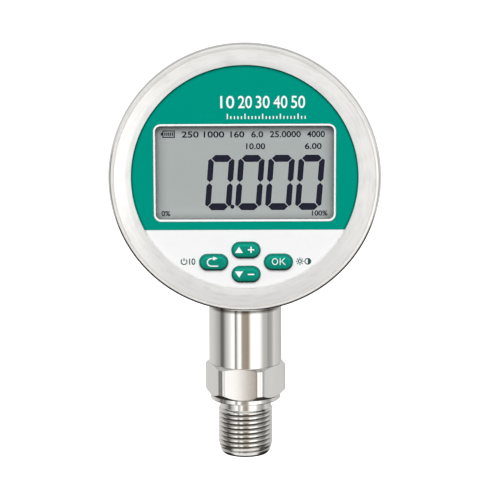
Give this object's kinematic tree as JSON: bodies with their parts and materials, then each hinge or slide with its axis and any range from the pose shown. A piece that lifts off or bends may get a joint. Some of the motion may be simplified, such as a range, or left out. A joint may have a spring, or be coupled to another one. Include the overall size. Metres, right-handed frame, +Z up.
{
  "type": "digital pressure gauge",
  "caption": "Round steel digital pressure gauge: a glazed LCD and sprung keys inside a bezel, above a hexagon stem with a male pipe thread.",
  "frame": {"origin": "centre of the thread's flat end face, at the bottom of the stem", "axes": "+Z up along the stem, the display faces -Y, +X to the viewer's right"},
  "size_m": [0.1022, 0.0475, 0.1638],
  "materials": {
    "case_steel": "satin",
    "bezel_steel": "satin, brushed round",
    "stem_steel": "turned bright",
    "fitting_steel": "turned bright",
    "fastener_steel": "zinc plated",
    "screw_steel": "bright",
    "sensor_steel": "turned",
    "spring_steel": "nickel plated",
    "contact_brass": "satin",
    "face_white": "semi-gloss",
    "film_green": "semi-gloss print",
    "key_green": "satin",
    "frame_white": "gloss",
    "lens_clear": "clear, polished",
    "lcd_grey": "fine matt film",
    "lcd_dark": "gloss",
    "cell_glass": "clear",
    "reflector_white": "matt",
    "light_white": "satin",
    "holder_black": "matt",
    "strip_grey": "matt",
    "seal_black": "matt",
    "board_green": "solder mask",
    "chip_black": "matt moulded",
    "capacitor_metal": "satin can",
    "switch_black": "matt",
    "plunger_white": "satin",
    "plug_ivory": "satin",
    "cable_grey": "matt",
    "tray_black": "matt moulded",
    "cell_wrap": "gloss sleeve",
    "wire_red": "satin",
    "wire_black": "satin"
  },
  "bodies": {
    "gauge": {"case_shell": "case_steel", "battery_cover": "case_steel", "bezel_ring": "bezel_steel", "stem_tube": "stem_steel", "process_fitting": "fitting_steel", "stem_washer": "fastener_steel", "stem_nut": "fastener_steel", "sensor_retainer": "fastener_steel", "board_screws": "fastener_steel", "tray_screws": "fastener_steel", "cover_screws": "screw_steel", "sensor_capsule": "sensor_steel", "battery_springs": "spring_steel", "battery_contacts": "contact_brass", "face_plate": "face_white", "green_film": "film_green", "window_frame": "frame_white", "window_lens": "lens_clear", "lcd_front_film": "lcd_grey", "lcd_segments": "lcd_dark", "lcd_cell": "cell_glass", "lcd_reflector": "reflector_white", "backlight_panel": "light_white", "lcd_holder": "holder_black", "zebra_strips": "strip_grey", "bezel_gasket": "seal_black", "face_seal": "seal_black", "cover_gasket": "seal_black", "sensor_oring": "seal_black", "main_board": "board_green", "board_chips": "chip_black", "board_capacitors": "capacitor_metal", "switch_housings": "switch_black", "sensor_plug": "plug_ivory", "sensor_socket": "plug_ivory", "sensor_cable": "cable_grey", "battery_tray": "tray_black", "battery_cells": "cell_wrap", "lead_red": "wire_red", "lead_black": "wire_black"},
    "button_up": {"key_up": "key_green", "plunger_up": "plunger_white"},
    "button_down": {"key_down": "key_green", "plunger_down": "plunger_white"},
    "button_back": {"key_back": "key_green", "plunger_back": "plunger_white"},
    "button_ok": {"key_ok": "key_green", "plunger_ok": "plunger_white"}
  },
  "joints": [
    {"name": "press_up", "type": "slide", "parent": "gauge", "child": "button_up", "axis": [0, 1, 0], "range_m": [0, 0.0008], "stiffness_N_per_m": 2500, "springref_m": -0.0004},
    {"name": "press_down", "type": "slide", "parent": "gauge", "child": "button_down", "axis": [0, 1, 0], "range_m": [0, 0.0008], "stiffness_N_per_m": 2500, "springref_m": -0.0004},
    {"name": "press_back", "type": "slide", "parent": "gauge", "child": "button_back", "axis": [0, 1, 0], "range_m": [0, 0.0008], "stiffness_N_per_m": 2500, "springref_m": -0.0004},
    {"name": "press_ok", "type": "slide", "parent": "gauge", "child": "button_ok", "axis": [0, 1, 0], "range_m": [0, 0.0008], "stiffness_N_per_m": 2500, "springref_m": -0.0004}
  ]
}
